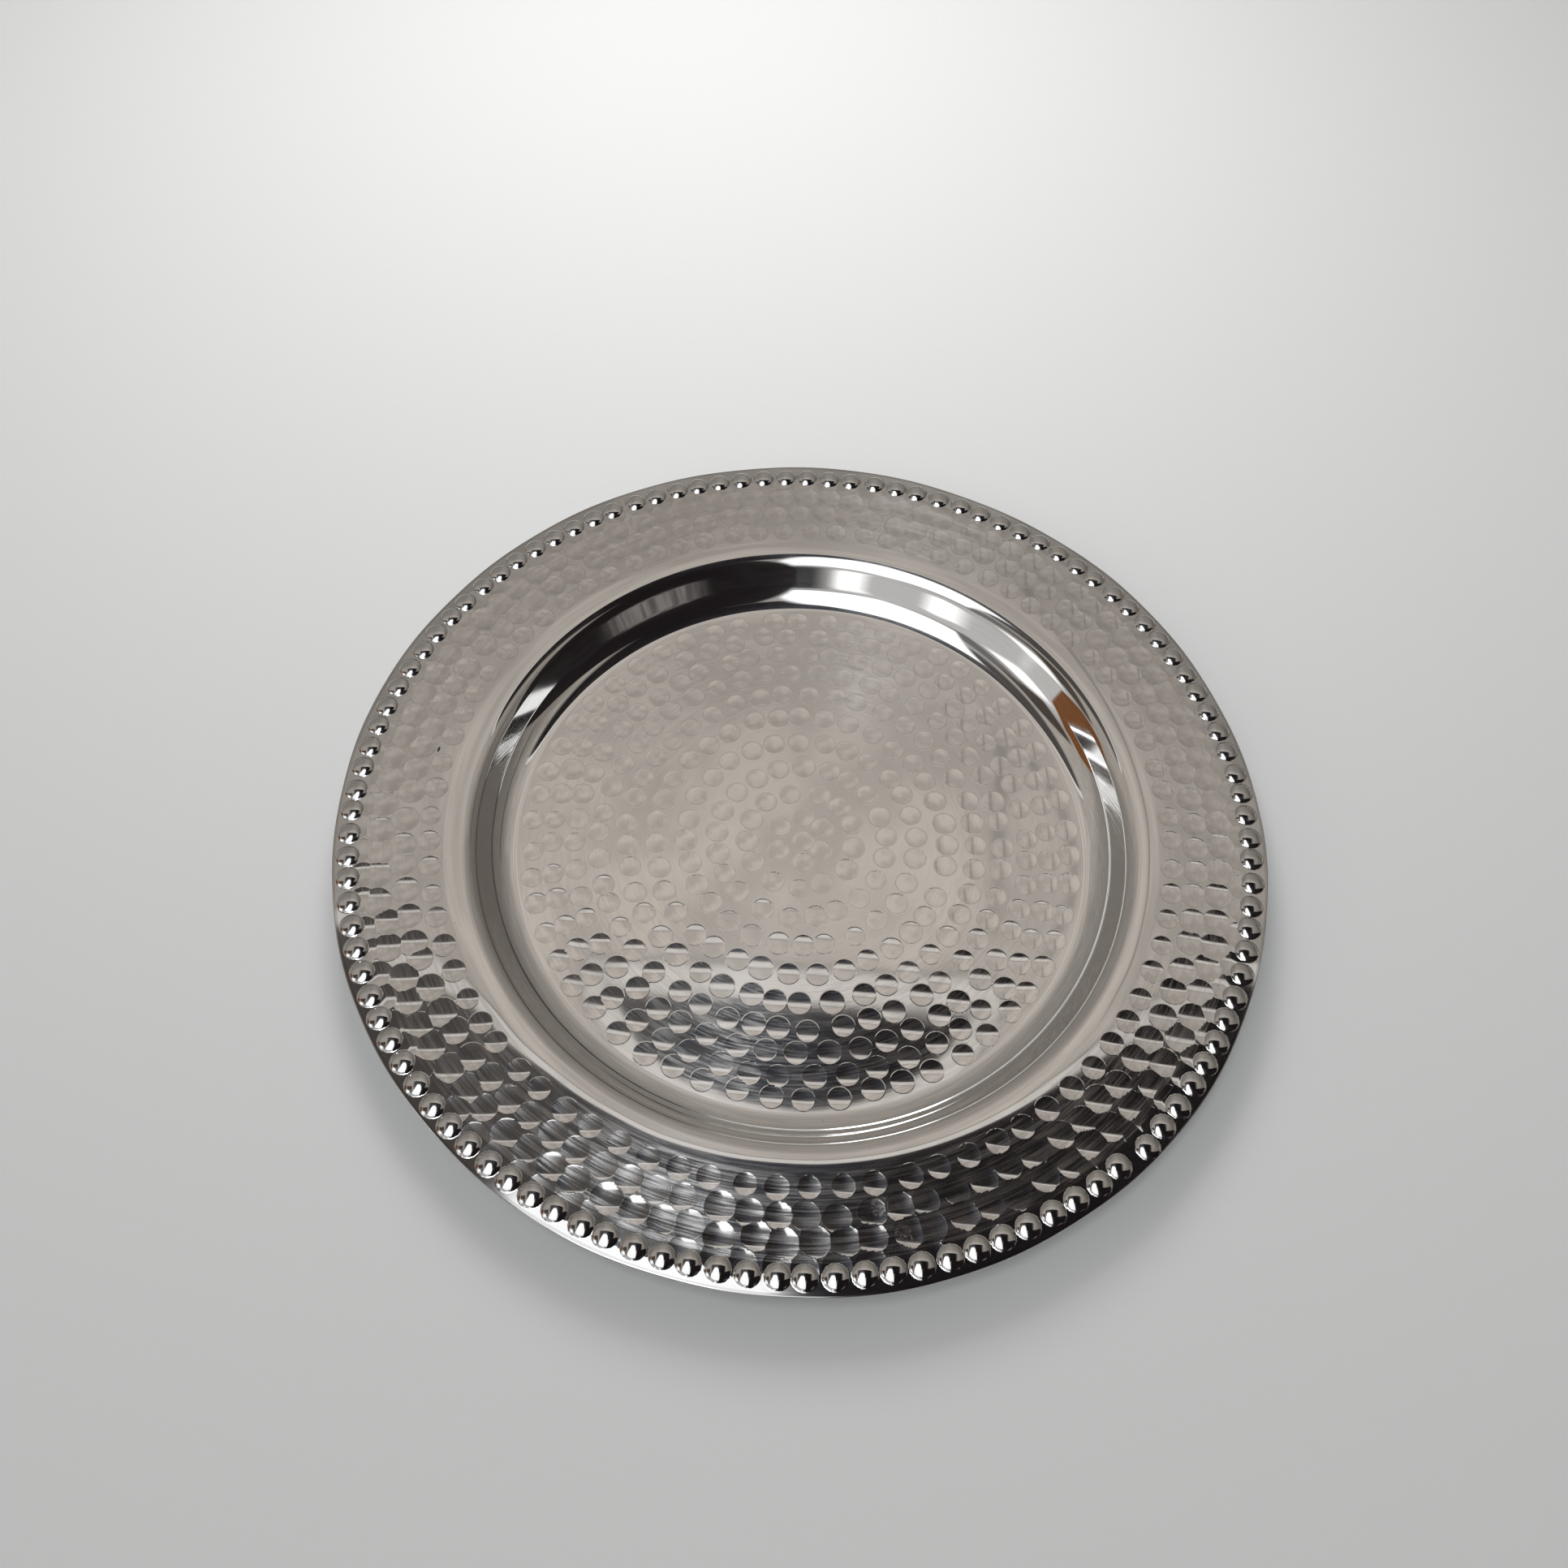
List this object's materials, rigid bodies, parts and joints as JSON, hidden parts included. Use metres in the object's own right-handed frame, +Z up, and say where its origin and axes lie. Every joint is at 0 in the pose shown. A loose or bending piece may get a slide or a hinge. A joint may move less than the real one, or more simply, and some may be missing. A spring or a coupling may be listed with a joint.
{
  "type": "offering plate",
  "caption": "Round hammered metal offering plate: shallow flat well, steep polished wall, wide hammered rim and a row of punched beads inside the edge.",
  "frame": {"origin": "centre of the underside of the well, on the surface that the plate rests on", "axes": "+Z up along the plate's axis, out of the well; +X and +Y in the plane of the plate"},
  "size_m": [0.33, 0.3299, 0.0169],
  "materials": {
    "hammered_steel": "polished stainless steel with hammer dimples and fine brush lines",
    "polished_steel": "mirror-polished stainless steel with faint spinning lines",
    "bead_steel": "bright polished stainless steel",
    "cut_edge": "satin sheared edge"
  },
  "bodies": {
    "root": {"well_floor": "hammered_steel", "well_wall": "polished_steel", "rim_shoulder": "polished_steel", "hammered_rim": "hammered_steel", "beaded_border": "bead_steel", "edge_lip": "cut_edge"}
  },
  "joints": []
}
